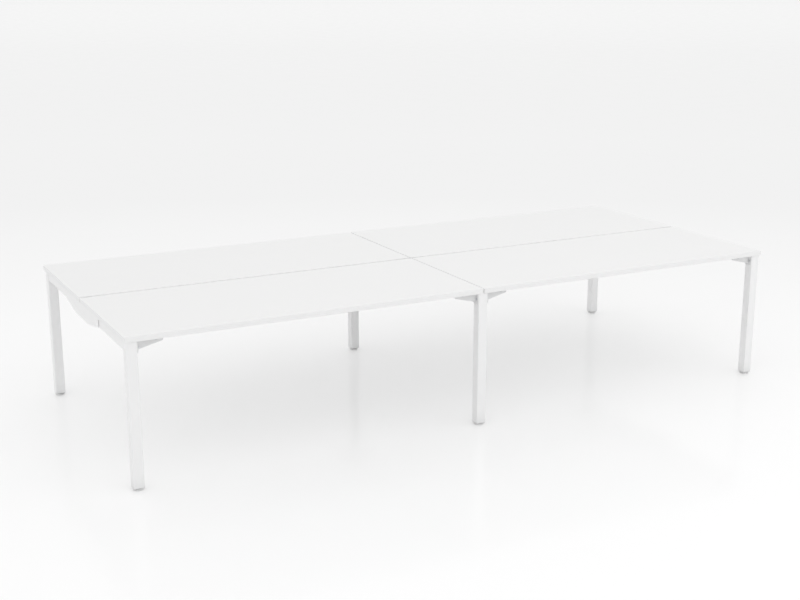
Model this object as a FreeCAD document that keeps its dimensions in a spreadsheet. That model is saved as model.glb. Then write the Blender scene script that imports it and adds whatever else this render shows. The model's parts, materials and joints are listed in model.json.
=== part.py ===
"""Four-person bench desk: worktops on three tube leg frames, joined by beams.

The long side runs along X, the users sit at -Y and +Y, and +Z is up.
The origin is on the floor under the middle of the desk. Sizes are in millimetres.
"""
import FreeCAD, Part
import os
import re
import Sketcher

Vector = FreeCAD.Vector
UP = Vector(0, 0, 1)

DRIVING_SIZES = {
    "worktop_height": 715,
    "top_length": 1800,
    "top_depth": 750,
    "top_thickness": 25,
    "cross_gap": 5,
    "long_gap": 16,
    "edging_thickness": 2,
    "edging_round": 1,
    "overhang_end": 8,
    "overhang_front": 6,
    "leg_size": 50,
    "leg_wall": 2,
    "leg_round": 4,
    "leg_lid": 3,
    "arm_width": 40,
    "arm_height": 50,
    "arm_wall": 2,
    "arm_round": 3,
    "arm_overlap": 155,
    "belly_length": 226,
    "belly_ramp": 182,
    "belly_drop": 31,
    "belly_round": 120,
    "bridge_wall": 3,
    "bridge_slack": 1.2,
    "boss_diameter": 22,
    "dimple_diameter": 18,
    "bridge_bolt_margin": 40,
    "beam_width": 30,
    "beam_height": 50,
    "beam_wall": 2,
    "beam_round": 3,
    "beam_clearance": 25,
    "end_plate_width": 80,
    "end_plate_thickness": 4,
    "end_plate_round": 6,
    "beam_bolt_spacing": 56,
    "tab_length": 40,
    "tab_reach": 24,
    "tab_thickness": 4,
    "gusset_reach": 122,
    "gusset_root_width": 44,
    "gusset_tip_width": 26,
    "gusset_tip_round": 8,
    "gusset_flange": 5,
    "gusset_web": 7,
    "gusset_root_depth": 45,
    "gusset_tip_depth": 16,
    "gusset_back_thickness": 5,
    "gusset_blend": 8,
    "gusset_screw_reach": 86,
    "gusset_screw_spacing": 19,
    "gusset_bolt_spacing": 26,
    "gusset_bolt_depth": 30,
    "pad_diameter": 48,
    "pad_height": 8,
    "pad_rim": 6,
    "pad_crown_diameter": 30,
    "pad_sole_round": 1,
    "socket_depth": 4,
    "stud_foot_diameter": 14,
    "stud_diameter": 10,
    "stud_length": 40,
    "stud_chamfer": 1.5,
    "collar_across_flats": 17,
    "collar_height": 3,
    "plug_flange": 3,
    "plug_length": 25,
    "running_gap": 0.3,
    "screw_diameter": 5,
    "screw_head_diameter": 11,
    "screw_head_height": 3,
    "beam_bolt_diameter": 8,
    "beam_bolt_length": 14,
    "beam_bolt_across_flats": 13,
    "beam_bolt_head": 5,
    "gusset_bolt_diameter": 6,
    "gusset_bolt_length": 14,
    "gusset_bolt_across_flats": 10,
    "gusset_bolt_head": 4,
    "bolt_gap": 0.3,
    "cut_overrun": 5,
    "tab_place_share": 0.32,
    "screw_bite_share": 0.6,
}

DERIVED_SIZES = {
    "underside": "=worktop_height - top_thickness",
    "overall_length": "=2 * top_length + cross_gap",
    "overall_depth": "=2 * top_depth + long_gap",
    "top_x": "=(top_length + cross_gap) / 2",
    "top_y": "=(top_depth + long_gap) / 2",
    "leg_x": "=overall_length / 2 - overhang_end - leg_size / 2",
    "leg_y": "=overall_depth / 2 - overhang_front - leg_size / 2",
    "leg_bottom": "=pad_height + collar_height + plug_flange",
    "leg_length": "=underside - leg_bottom",
    "bridge_half_length": "=belly_length / 2 + belly_ramp",
    "bridge_width": "=arm_width + 2 * bridge_slack + 2 * bridge_wall",
    "bridge_relief": "=belly_ramp * (bridge_wall + bridge_slack) / belly_drop",
    "arm_outer_end": "=leg_y - leg_size / 2",
    "arm_inner_end": "=bridge_half_length - arm_overlap",
    "bolt_near_y": "=arm_inner_end + bridge_bolt_margin",
    "bolt_far_y": "=bridge_half_length - bridge_bolt_margin",
    "bolt_level": "=underside - arm_height / 2",
    "beam_x": "=leg_x / 2",
    "beam_y": "=bridge_half_length + beam_clearance + end_plate_width / 2",
    "beam_length": "=leg_x - arm_width",
    "tab_spread": "=beam_length * tab_place_share",
    "tab_screw_y": "=beam_width / 2 + tab_reach / 2",
    "screw_hole": "=screw_diameter + 2 * bolt_gap",
    "beam_bolt_hole": "=beam_bolt_diameter + 2 * bolt_gap",
    "gusset_bolt_hole": "=gusset_bolt_diameter + 2 * bolt_gap",
    "gusset_bolt_level": "=underside - gusset_bolt_depth",
    "stud_bore": "=stud_diameter + 2 * running_gap",
    "socket_diameter": "=stud_foot_diameter + 2 * running_gap",
    "socket_floor": "=pad_height - socket_depth",
    "collar_top": "=pad_height + collar_height",
    "screw_bite": "=top_thickness * screw_bite_share",
    "gusset_back_height": "=gusset_root_depth + gusset_blend",
    "arm_length": "=arm_outer_end - arm_inner_end",
}

ENDS = {"left": -1, "middle": 0, "right": 1}
SIDES = {"front": -1, "rear": 1}
BAYS = {"left": -1, "right": 1}

# Each gusset by the leg frame that carries it and the way that it points along X
GUSSETS = {"left": (-1, 1), "middle_left": (0, -1), "middle_right": (0, 1), "right": (1, -1)}

# The side of each leg frame where the bridge's bolts go in, which is never an outer face
BOLT_SIDES = {"left": 1, "middle": 1, "right": -1}

doc = FreeCAD.newDocument("bench_desk")
sheet = doc.addObject("Spreadsheet::Sheet", "Sizes")
for row, (alias, content) in enumerate({**DRIVING_SIZES, **DERIVED_SIZES}.items(), start=1):
    sheet.set(f"A{row}", alias)
    sheet.set(f"B{row}", str(content))
    sheet.setAlias(f"B{row}", alias)
doc.recompute()

nodes = []


def size(formula):
    """Return the value of a formula in the sheet's names."""
    return float(sheet.evalExpression(formula))


def bind(item, place, formula):
    """Tie a property of an item to a formula in the sheet's names."""
    item.setExpression(place, re.sub(r"\b([a-z]\w*)\b(?!\()", r"Sizes.\1", formula))


def signed(sign, formula):
    """Return the formula on the given side of zero."""
    return f"{sign} * ({formula})"


def new_body(label, x, y, z, half_turn=False):
    """Start a piece that stands at three formulas, turned half round if asked."""
    body = doc.addObject("PartDesign::Body", label)
    body.Label = label
    if half_turn:
        body.Placement = FreeCAD.Placement(Vector(0, 0, 0), FreeCAD.Rotation(UP, 180))
    for axis, formula in zip("xyz", (x, y, z)):
        bind(body, f"Placement.Base.{axis}", formula)
    nodes.append(body)
    return body


def new_sketch(body, name, plane, level=None):
    """Start a sketch on one of the piece's own planes, lifted off it by a formula if given."""
    sketch = body.newObject("Sketcher::SketchObject", name)
    support = next(feature for feature in body.Origin.OriginFeatures if feature.Role == plane)
    sketch.AttachmentSupport = [(support, "")]
    sketch.MapMode = "FlatFace"
    if level:
        bind(sketch, "AttachmentOffset.Base.z", level)
    return sketch


def pin_point(sketch, line, end, x, y):
    """Hold one end of a line, or a circle's centre, at two formulas from the sketch's origin."""
    for kind, formula in (("DistanceX", x), ("DistanceY", y)):
        index = sketch.addConstraint(Sketcher.Constraint(kind, -1, 1, line, end, size(formula)))
        bind(sketch, f"Constraints[{index}]", formula)


def add_outline(sketch, corners):
    """Draw a closed outline through corners, each a pair of formulas."""
    first = sketch.GeometryCount
    count = len(corners)
    points = [Vector(size(x), size(y), 0) for x, y in corners]
    for index in range(count):
        sketch.addGeometry(Part.LineSegment(points[index], points[(index + 1) % count]), False)
    for index, (x, y) in enumerate(corners):
        following = first + (index + 1) % count
        sketch.addConstraint(Sketcher.Constraint("Coincident", first + index, 2, following, 1))
        pin_point(sketch, first + index, 1, x, y)


def add_rectangle(sketch, width, height, x="0", y="0"):
    """Draw a rectangle about a centre."""
    across = [f"({x}) - ({width}) / 2", f"({x}) + ({width}) / 2"]
    along = [f"({y}) - ({height}) / 2", f"({y}) + ({height}) / 2"]
    order = ((0, 0), (1, 0), (1, 1), (0, 1))
    add_outline(sketch, [(across[column], along[row]) for column, row in order])


def add_circle(sketch, diameter, x, y):
    """Draw a circle of a given diameter."""
    circle = sketch.addGeometry(Part.Circle(Vector(size(x), size(y), 0), UP, size(diameter) / 2), False)
    pin_point(sketch, circle, 3, x, y)
    index = sketch.addConstraint(Sketcher.Constraint("Diameter", circle, size(diameter)))
    bind(sketch, f"Constraints[{index}]", diameter)


def pad(body, sketch, length, symmetric=False, backwards=False):
    """Raise a sketch into a solid."""
    feature = body.newObject("PartDesign::Pad", f"{sketch.Name}_pad")
    feature.Profile = sketch
    bind(feature, "Length", length)
    feature.SideType = "Symmetric" if symmetric else "One side"
    feature.Reversed = backwards
    doc.recompute()
    return feature


def pocket(body, sketch, length, symmetric=False, backwards=False):
    """Cut a sketch out of a solid, and make sure that it took something away."""
    before = body.Shape.Volume
    feature = body.newObject("PartDesign::Pocket", f"{sketch.Name}_pocket")
    feature.Profile = sketch
    bind(feature, "Length", length)
    feature.SideType = "Symmetric" if symmetric else "One side"
    feature.Reversed = backwards
    doc.recompute()
    if body.Shape.Volume >= before:
        raise ValueError(f"{feature.Label} cuts nothing")
    return feature


def revolve(body, sketch):
    """Turn a half outline about the sketch's upright axis."""
    feature = body.newObject("PartDesign::Revolution", f"{sketch.Name}_turn")
    feature.Profile = sketch
    feature.ReferenceAxis = (sketch, ["V_Axis"])
    doc.recompute()
    return feature


def round_edges(body, radius, chosen):
    """Round the edges of the piece's last feature for which chosen(edge) is true."""
    base = body.Tip
    names = [f"Edge{number}" for number, edge in enumerate(base.Shape.Edges, start=1) if chosen(edge)]
    if not names:
        raise ValueError(f"{body.Label} has no such edge to round")
    feature = body.newObject("PartDesign::Fillet", f"{body.Name}_round_{len(body.Group)}")
    feature.Base = (base, names)
    bind(feature, "Radius", radius)
    doc.recompute()
    return feature


def runs_along(edge, axis):
    """Tell whether an edge is straight and lies along an axis."""
    if edge.Curve.TypeId != "Part::GeomLine":
        return False
    return abs(abs(edge.tangentAt(edge.FirstParameter).dot(axis)) - 1) < Part.Precision.confusion()


def middle_of(edge):
    """Return the middle of an edge's box."""
    return edge.BoundBox.Center


X_AXIS = Vector(1, 0, 0)
Y_AXIS = Vector(0, 1, 0)


# Worktops: each a board with blind holes for its screws, and an edging strip all round

def top_screw_places():
    """List where screws enter the tops from below, as (x, y, seat) in formulas.

    The seat is the thickness of the metal between the screw's head and the top.
    """
    places = []
    for side in SIDES.values():
        for leg_end, towards in GUSSETS.values():
            for row in (-1, 1):
                x = f"{leg_end} * leg_x + {towards} * (leg_size / 2 + gusset_screw_reach)"
                y = f"{side} * leg_y + {row} * gusset_screw_spacing / 2"
                places.append((x, y, "gusset_flange"))
        for bay in BAYS.values():
            for step in (-1, 0, 1):
                x = f"{bay} * beam_x + {step} * tab_spread"
                y = f"{side} * (beam_y + tab_screw_y)"
                places.append((x, y, "tab_thickness"))
    return places


def make_top(bay_name, bay, side_name, side):
    """Make one board with its screw holes, and the edging round it."""
    centre_x, centre_y = signed(bay, "top_x"), signed(side, "top_y")
    board = new_body(f"top_{side_name}_{bay_name}", centre_x, centre_y, "underside")
    outline = new_sketch(board, f"{board.Label}_outline", "XY_Plane")
    add_rectangle(outline, "top_length - 2 * edging_thickness", "top_depth - 2 * edging_thickness")
    pad(board, outline, "top_thickness")
    holes = new_sketch(board, f"{board.Label}_holes", "XY_Plane")
    for x, y, seat in top_screw_places():
        if size(x) * bay > 0 and size(y) * side > 0:
            add_circle(holes, "screw_hole", f"({x}) - ({centre_x})", f"({y}) - ({centre_y})")
    pocket(board, holes, "screw_bite + bolt_gap", backwards=True)

    strip = new_body(f"edging_{side_name}_{bay_name}", centre_x, centre_y, "underside")
    outer = new_sketch(strip, f"{strip.Label}_outer", "XY_Plane")
    add_rectangle(outer, "top_length", "top_depth")
    pad(strip, outer, "top_thickness")
    round_edges(strip, "edging_thickness", lambda edge: runs_along(edge, UP))
    round_edges(strip, "edging_round", lambda edge: edge.BoundBox.ZLength < size("edging_round"))
    inner = new_sketch(strip, f"{strip.Label}_inner", "XY_Plane")
    add_rectangle(inner, "top_length - 2 * edging_thickness", "top_depth - 2 * edging_thickness")
    pocket(strip, inner, "top_thickness", backwards=True)


# Legs: square tube, closed by a lid at the top, with holes for the gusset bolts

def make_leg(end_name, end, side_name, side):
    """Make one leg, its bottom plug and its levelling foot."""
    x, y = signed(end, "leg_x"), signed(side, "leg_y")
    leg = new_body(f"leg_{side_name}_{end_name}", x, y, "leg_bottom")
    outside = new_sketch(leg, f"{leg.Label}_outside", "XY_Plane")
    add_rectangle(outside, "leg_size", "leg_size")
    pad(leg, outside, "leg_length")
    round_edges(leg, "leg_round", lambda edge: runs_along(edge, UP))
    inside = new_sketch(leg, f"{leg.Label}_inside", "XY_Plane")
    add_rectangle(inside, "leg_size - 2 * leg_wall", "leg_size - 2 * leg_wall")
    pocket(leg, inside, "leg_length - leg_lid", backwards=True)
    holes = new_sketch(leg, f"{leg.Label}_holes", "YZ_Plane")
    for row in (-1, 1):
        add_circle(holes, "gusset_bolt_hole", f"{row} * gusset_bolt_spacing / 2", "gusset_bolt_level - leg_bottom")
    pocket(leg, holes, "leg_size + cut_overrun", symmetric=end == 0, backwards=end < 0)
    make_plug(end_name, side_name, x, y)
    make_foot(end_name, side_name, x, y)


def make_plug(end_name, side_name, x, y):
    """Make the plug in the bottom of a leg, with the bore that takes the foot's stud."""
    plug = new_body(f"leg_plug_{side_name}_{end_name}", x, y, "collar_top")
    flange = new_sketch(plug, f"{plug.Label}_flange", "XY_Plane")
    add_rectangle(flange, "leg_size", "leg_size")
    pad(plug, flange, "plug_flange")
    round_edges(plug, "leg_round", lambda edge: runs_along(edge, UP))
    spigot = new_sketch(plug, f"{plug.Label}_spigot", "XY_Plane")
    width = "leg_size - 2 * leg_wall - 2 * running_gap"
    add_rectangle(spigot, width, width)
    pad(plug, spigot, "plug_flange + plug_length")
    bore = new_sketch(plug, f"{plug.Label}_bore", "XY_Plane")
    add_circle(bore, "stud_bore", "0", "0")
    pocket(plug, bore, "plug_flange + plug_length", backwards=True)


def make_foot(end_name, side_name, x, y):
    """Make a foot: a round pad, and the threaded stud with its collar that turns in it."""
    base = new_body(f"foot_pad_{side_name}_{end_name}", x, y, "0")
    profile = new_sketch(base, f"{base.Label}_profile", "XZ_Plane")
    add_outline(profile, [
        ("0", "0"),
        ("pad_diameter / 2 - pad_sole_round", "0"),
        ("pad_diameter / 2", "pad_sole_round"),
        ("pad_diameter / 2", "pad_rim"),
        ("pad_crown_diameter / 2", "pad_height"),
        ("socket_diameter / 2", "pad_height"),
        ("socket_diameter / 2", "socket_floor"),
        ("0", "socket_floor"),
    ])
    revolve(base, profile)

    stud = new_body(f"foot_stud_{side_name}_{end_name}", x, y, "0")
    shaft = new_sketch(stud, f"{stud.Label}_shaft", "XZ_Plane")
    top = "collar_top + stud_length"
    add_outline(shaft, [
        ("0", "socket_floor"),
        ("stud_foot_diameter / 2", "socket_floor"),
        ("stud_foot_diameter / 2", "pad_height + running_gap"),
        ("stud_diameter / 2", "pad_height + running_gap"),
        ("stud_diameter / 2", f"{top} - stud_chamfer"),
        ("stud_diameter / 2 - stud_chamfer", top),
        ("0", top),
    ])
    revolve(stud, shaft)
    collar = new_sketch(stud, f"{stud.Label}_collar", "XY_Plane", "pad_height + running_gap")
    add_hexagon(collar, "collar_across_flats")
    pad(stud, collar, "collar_height - running_gap")


def add_hexagon(sketch, across_flats):
    """Draw a hexagon with two sides along the sketch's X axis."""
    half = f"({across_flats}) / 2"
    corner = f"({across_flats}) / sqrt(3)"
    add_outline(sketch, [
        (corner, "0"),
        (f"{corner} / 2", half),
        (f"-{corner} / 2", half),
        (f"-{corner}", "0"),
        (f"-{corner} / 2", f"-{half}"),
        (f"{corner} / 2", f"-{half}"),
    ])


# Leg frames: two arms run in from the legs, and a folded bridge joins them

def make_arm(end_name, end, side_name, side):
    """Make one arm, a tube that starts at its leg and ends inside the bridge."""
    turned = side > 0
    facing = -1 if turned else 1
    arm = new_body(
        f"arm_{side_name}_{end_name}", signed(end, "leg_x"), signed(side, "arm_outer_end"), "underside", turned
    )
    outside = new_sketch(arm, f"{arm.Label}_outside", "XZ_Plane")
    add_rectangle(outside, "arm_width", "arm_height", y="-arm_height / 2")
    pad(arm, outside, "arm_length", backwards=True)
    round_edges(arm, "arm_round", lambda edge: runs_along(edge, Y_AXIS))
    inside = new_sketch(arm, f"{arm.Label}_inside", "XZ_Plane")
    add_rectangle(inside, "arm_width - 2 * arm_wall", "arm_height - 2 * arm_wall", y="-arm_height / 2")
    pocket(arm, inside, "arm_length")
    beam_holes = new_sketch(arm, f"{arm.Label}_beam_holes", "YZ_Plane")
    for row in (-1, 1):
        along = f"arm_outer_end - beam_y + {row} * beam_bolt_spacing / 2"
        add_circle(beam_holes, "beam_bolt_hole", along, "-arm_height / 2")
    pocket(arm, beam_holes, "arm_width + cut_overrun", symmetric=end == 0, backwards=end * facing < 0)
    bridge_holes = new_sketch(arm, f"{arm.Label}_bridge_holes", "YZ_Plane")
    for place in ("bolt_near_y", "bolt_far_y"):
        add_circle(bridge_holes, "beam_bolt_hole", f"arm_outer_end - {place}", "-arm_height / 2")
    pocket(arm, bridge_holes, "arm_width", backwards=BOLT_SIDES[end_name] * facing > 0)


def make_bridge(end_name, end):
    """Make the bridge of one leg frame: a folded channel with a deeper belly in the middle.

    Its bolted cheek is pressed in at each bolt, so that a boss inside meets the arm.
    """
    bridge = new_body(f"bridge_{end_name}", signed(end, "leg_x"), "0", "underside", BOLT_SIDES[end_name] < 0)
    cheek = new_sketch(bridge, f"{bridge.Label}_cheek", "YZ_Plane")
    belly = "-arm_height - belly_drop"
    add_outline(cheek, [
        ("bridge_half_length", "0"),
        ("-bridge_half_length", "0"),
        ("-bridge_half_length", "-arm_height"),
        ("-belly_length / 2", belly),
        ("belly_length / 2", belly),
        ("bridge_half_length", "-arm_height"),
    ])
    pad(bridge, cheek, "bridge_width", symmetric=True)
    lowest = size(belly)
    tolerance = size("bridge_wall / 2")
    round_edges(
        bridge,
        "belly_round",
        lambda edge: runs_along(edge, X_AXIS) and abs(middle_of(edge).z - lowest) < tolerance,
    )
    hollow = new_sketch(bridge, f"{bridge.Label}_hollow", "YZ_Plane")
    mouth = "bridge_half_length - bridge_relief"
    past = "bridge_half_length + cut_overrun"
    below = f"{belly} - cut_overrun"
    web_end = "-arm_height - bridge_slack"
    web_floor = f"{belly} + bridge_wall"
    add_outline(hollow, [
        (past, "cut_overrun"),
        (f"-({past})", "cut_overrun"),
        (f"-({past})", below),
        (f"-({mouth})", below),
        (f"-({mouth})", web_end),
        ("-belly_length / 2", web_floor),
        ("belly_length / 2", web_floor),
        (mouth, web_end),
        (mouth, below),
        (past, below),
    ])
    pocket(bridge, hollow, "bridge_width - 2 * bridge_wall", symmetric=True)
    bosses = new_sketch(bridge, f"{bridge.Label}_bosses", "YZ_Plane", "arm_width / 2")
    dimples = new_sketch(bridge, f"{bridge.Label}_dimples", "YZ_Plane", "bridge_width / 2")
    holes = new_sketch(bridge, f"{bridge.Label}_holes", "YZ_Plane", "arm_width / 2")
    for side in SIDES.values():
        for place in ("bolt_near_y", "bolt_far_y"):
            add_circle(bosses, "boss_diameter", signed(side, place), "-arm_height / 2")
            add_circle(dimples, "dimple_diameter", signed(side, place), "-arm_height / 2")
            add_circle(holes, "beam_bolt_hole", signed(side, place), "-arm_height / 2")
    pad(bridge, bosses, "bridge_slack + bridge_wall")
    pocket(bridge, dimples, "bridge_slack")
    pocket(bridge, holes, "bridge_slack + bridge_wall", backwards=True)


# Gussets: cast brackets beside the legs, with a tapered web under a flange that holds the top

def make_gusset(name, end, towards, side_name, side):
    """Make one gusset against the side of its leg."""
    gusset = new_body(
        f"gusset_{side_name}_{name}",
        f"{end} * leg_x + {towards} * leg_size / 2",
        signed(side, "leg_y"),
        "underside",
        towards < 0,
    )
    flange = new_sketch(gusset, f"{gusset.Label}_flange", "XY_Plane")
    add_outline(flange, [
        ("0", "-gusset_root_width / 2"),
        ("gusset_reach", "-gusset_tip_width / 2"),
        ("gusset_reach", "gusset_tip_width / 2"),
        ("0", "gusset_root_width / 2"),
    ])
    pad(gusset, flange, "gusset_flange", backwards=True)
    round_edges(
        gusset,
        "gusset_tip_round",
        lambda edge: runs_along(edge, UP) and middle_of(edge).x > size("gusset_reach / 2"),
    )
    back = new_sketch(gusset, f"{gusset.Label}_back", "YZ_Plane")
    add_rectangle(back, "gusset_root_width", "gusset_back_height", y="-gusset_back_height / 2")
    pad(gusset, back, "gusset_back_thickness")
    web = new_sketch(gusset, f"{gusset.Label}_web", "XZ_Plane")
    add_outline(web, [
        ("0", "0"),
        ("gusset_reach", "0"),
        ("gusset_reach", "-gusset_tip_depth"),
        ("gusset_back_thickness", "-gusset_root_depth"),
        ("0", "-gusset_root_depth"),
    ])
    pad(gusset, web, "gusset_web", symmetric=True)
    corner = Vector(size("gusset_back_thickness"), 0, -size("gusset_root_depth"))
    tolerance = size("gusset_web / 2")
    round_edges(
        gusset,
        "gusset_blend",
        lambda edge: runs_along(edge, Y_AXIS) and middle_of(edge).distanceToPoint(corner) < tolerance,
    )
    screw_holes = new_sketch(gusset, f"{gusset.Label}_screw_holes", "XY_Plane")
    bolt_holes = new_sketch(gusset, f"{gusset.Label}_bolt_holes", "YZ_Plane")
    for row in (-1, 1):
        add_circle(screw_holes, "screw_hole", "gusset_screw_reach", f"{row} * gusset_screw_spacing / 2")
        add_circle(bolt_holes, "gusset_bolt_hole", f"{row} * gusset_bolt_spacing / 2", "-gusset_bolt_depth")
    pocket(gusset, screw_holes, "gusset_flange")
    pocket(gusset, bolt_holes, "gusset_back_thickness", backwards=True)


# Beams: tubes between the leg frames, with bolted end plates and tabs that hold the tops

def make_beam(bay_name, bay, side_name, side):
    """Make one beam with its end plates and tabs."""
    beam = new_body(f"beam_{side_name}_{bay_name}", signed(bay, "beam_x"), signed(side, "beam_y"), "underside")
    outside = new_sketch(beam, f"{beam.Label}_outside", "YZ_Plane")
    add_rectangle(outside, "beam_width", "beam_height", y="-beam_height / 2")
    pad(beam, outside, "beam_length - end_plate_thickness", symmetric=True)
    round_edges(beam, "beam_round", lambda edge: runs_along(edge, X_AXIS))
    inside = new_sketch(beam, f"{beam.Label}_inside", "YZ_Plane")
    add_rectangle(inside, "beam_width - 2 * beam_wall", "beam_height - 2 * beam_wall", y="-beam_height / 2")
    pocket(beam, inside, "beam_length", symmetric=True)
    for end_name, level in (("first", "-beam_length / 2"), ("last", "beam_length / 2 - end_plate_thickness")):
        plate = new_sketch(beam, f"{beam.Label}_{end_name}_plate", "YZ_Plane", level)
        add_rectangle(plate, "end_plate_width", "beam_height", y="-beam_height / 2")
        pad(beam, plate, "end_plate_thickness")
    plate_edge = size("end_plate_width / 2")
    tolerance = size("end_plate_thickness / 2")
    round_edges(
        beam,
        "end_plate_round",
        lambda edge: runs_along(edge, X_AXIS) and abs(abs(middle_of(edge).y) - plate_edge) < tolerance,
    )
    tabs = new_sketch(beam, f"{beam.Label}_tabs", "XY_Plane")
    holes = new_sketch(beam, f"{beam.Label}_tab_holes", "XY_Plane")
    for step in (-1, 0, 1):
        along = f"{step} * tab_spread"
        across = signed(side, "beam_width / 2 + (tab_reach - beam_round) / 2")
        add_rectangle(tabs, "tab_length", "tab_reach + beam_round", along, across)
        add_circle(holes, "screw_hole", along, signed(side, "tab_screw_y"))
    pad(beam, tabs, "tab_thickness", backwards=True)
    pocket(beam, holes, "tab_thickness")
    bolt_holes = new_sketch(beam, f"{beam.Label}_bolt_holes", "YZ_Plane")
    for row in (-1, 1):
        add_circle(bolt_holes, "beam_bolt_hole", f"{row} * beam_bolt_spacing / 2", "-arm_height / 2")
    pocket(beam, bolt_holes, "beam_length + cut_overrun", symmetric=True)


# Fasteners: one group for each kind, every screw or bolt a solid of its own

def hex_bolt(diameter, length, across_flats, head):
    """Return a bolt whose head sits under the origin and whose shank points up."""
    sixth_turn = FreeCAD.Rotation(UP, 60)
    points = [Vector(size(f"{across_flats} / sqrt(3)"), 0, 0)]
    for _ in range(6):
        points.append(sixth_turn.multVec(points[-1]))
    outline = Part.Face(Part.makePolygon(points))
    top = outline.extrude(-UP * size(head))
    shank = Part.makeCylinder(size(diameter) / 2, size(length))
    return top.fuse(shank).removeSplitter()


def wood_screw(seat):
    """Return a screw whose head sits under the origin and whose shank goes through its seat into the top."""
    head = Part.makeCylinder(size("screw_head_diameter") / 2, size("screw_head_height"), Vector(), -UP)
    shank = Part.makeCylinder(size("screw_diameter") / 2, size(f"screw_bite + {seat}"))
    return head.fuse(shank).removeSplitter()


def add_group(label, fasteners):
    """Add a group of fasteners, each a (shape, place, direction)."""
    placed = []
    for shape, place, direction in fasteners:
        copy = shape.copy()
        copy.Placement = FreeCAD.Placement(place, FreeCAD.Rotation(UP, direction))
        placed.append(copy)
    group = doc.addObject("Part::Feature", label)
    group.Label = label
    group.Shape = Part.Compound(placed)
    nodes.append(group)


def make_fasteners():
    """Make the screws of the tops and the bolts of the gussets, beams and bridges."""
    screws = []
    for x, y, seat in top_screw_places():
        screws.append((wood_screw(seat), Vector(size(x), size(y), size(f"underside - {seat}")), UP))
    add_group("top_screws", screws)

    small_bolt = hex_bolt(
        "gusset_bolt_diameter", "gusset_bolt_length", "gusset_bolt_across_flats", "gusset_bolt_head"
    )
    bolts = []
    for side in SIDES.values():
        for end, towards in GUSSETS.values():
            seat = f"{end} * leg_x + {towards} * (leg_size / 2 + gusset_back_thickness)"
            for row in (-1, 1):
                y = f"{side} * leg_y + {row} * gusset_bolt_spacing / 2"
                place = Vector(size(seat), size(y), size("gusset_bolt_level"))
                bolts.append((small_bolt, place, X_AXIS * -towards))
    add_group("gusset_bolts", bolts)

    large_bolt = hex_bolt("beam_bolt_diameter", "beam_bolt_length", "beam_bolt_across_flats", "beam_bolt_head")
    bolts = []
    for side in SIDES.values():
        for bay in BAYS.values():
            for beam_end in (-1, 1):
                seat = f"{bay} * beam_x + {beam_end} * (beam_length / 2 - end_plate_thickness)"
                for row in (-1, 1):
                    y = f"{side} * beam_y + {row} * beam_bolt_spacing / 2"
                    bolts.append((large_bolt, Vector(size(seat), size(y), size("bolt_level")), X_AXIS * beam_end))
    add_group("beam_bolts", bolts)

    bolts = []
    for end_name, end in ENDS.items():
        facing = BOLT_SIDES[end_name]
        seat = f"{end} * leg_x + {facing} * (bridge_width / 2 - bridge_slack)"
        for side in SIDES.values():
            for y in ("bolt_near_y", "bolt_far_y"):
                place = Vector(size(seat), side * size(y), size("bolt_level"))
                bolts.append((large_bolt, place, X_AXIS * -facing))
    add_group("bridge_bolts", bolts)


def check_model():
    """Stop if any feature failed or any piece has no sound shape."""
    doc.recompute()
    for item in doc.Objects:
        if {"Invalid", "Error"} & set(item.State):
            raise ValueError(f"{item.Label} failed: {item.State}")
    for node in nodes:
        if node.Shape.isNull() or not node.Shape.isValid() or not node.Shape.Solids:
            raise ValueError(f"{node.Label} has no sound shape")


for side_name, side in SIDES.items():
    for bay_name, bay in BAYS.items():
        make_top(bay_name, bay, side_name, side)
        make_beam(bay_name, bay, side_name, side)
    for end_name, end in ENDS.items():
        make_leg(end_name, end, side_name, side)
        make_arm(end_name, end, side_name, side)
    for name, (end, towards) in GUSSETS.items():
        make_gusset(name, end, towards, side_name, side)
for end_name, end in ENDS.items():
    make_bridge(end_name, end)
make_fasteners()
check_model()

os.makedirs("parts", exist_ok=True)
for node in nodes:
    node.Shape.exportStep(f"parts/{node.Label}.step")
print(f"{len(nodes)} pieces written")
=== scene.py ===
"""White four-person bench desk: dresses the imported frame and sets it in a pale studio."""
from __future__ import annotations

import sys

import json
import logging
import math
from collections.abc import Callable, Iterator
from contextlib import contextmanager
from dataclasses import dataclass, field
from enum import Enum

import bpy
from mathutils import Matrix, Vector

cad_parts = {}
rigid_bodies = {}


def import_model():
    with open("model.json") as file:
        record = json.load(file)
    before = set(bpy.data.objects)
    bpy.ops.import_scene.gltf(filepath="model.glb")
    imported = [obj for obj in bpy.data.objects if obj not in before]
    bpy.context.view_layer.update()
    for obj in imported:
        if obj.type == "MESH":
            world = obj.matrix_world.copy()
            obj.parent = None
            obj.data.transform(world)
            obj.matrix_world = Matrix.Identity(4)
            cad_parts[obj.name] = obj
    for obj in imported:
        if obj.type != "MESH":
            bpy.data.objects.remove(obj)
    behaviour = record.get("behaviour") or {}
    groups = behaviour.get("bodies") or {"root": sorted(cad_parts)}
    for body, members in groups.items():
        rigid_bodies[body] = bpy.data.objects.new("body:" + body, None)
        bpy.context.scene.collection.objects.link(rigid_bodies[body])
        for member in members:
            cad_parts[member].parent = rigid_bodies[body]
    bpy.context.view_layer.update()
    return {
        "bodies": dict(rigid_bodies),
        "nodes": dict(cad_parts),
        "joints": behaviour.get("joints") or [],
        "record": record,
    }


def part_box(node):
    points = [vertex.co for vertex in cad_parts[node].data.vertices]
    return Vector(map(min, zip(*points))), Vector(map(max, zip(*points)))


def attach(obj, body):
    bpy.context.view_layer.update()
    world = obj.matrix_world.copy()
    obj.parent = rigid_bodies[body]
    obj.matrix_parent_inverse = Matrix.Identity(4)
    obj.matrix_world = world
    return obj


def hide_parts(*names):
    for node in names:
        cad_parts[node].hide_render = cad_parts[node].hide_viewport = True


LOG = logging.getLogger("bench_desk")
MM = 0.001
QUARTER_TURN = 0.5 * math.pi
NOISE_MEAN = 0.5
OPAQUE = 1.0

Colour = tuple[float, float, float]
Triple = tuple[float, float, float]
Span = tuple[float, float]

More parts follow.
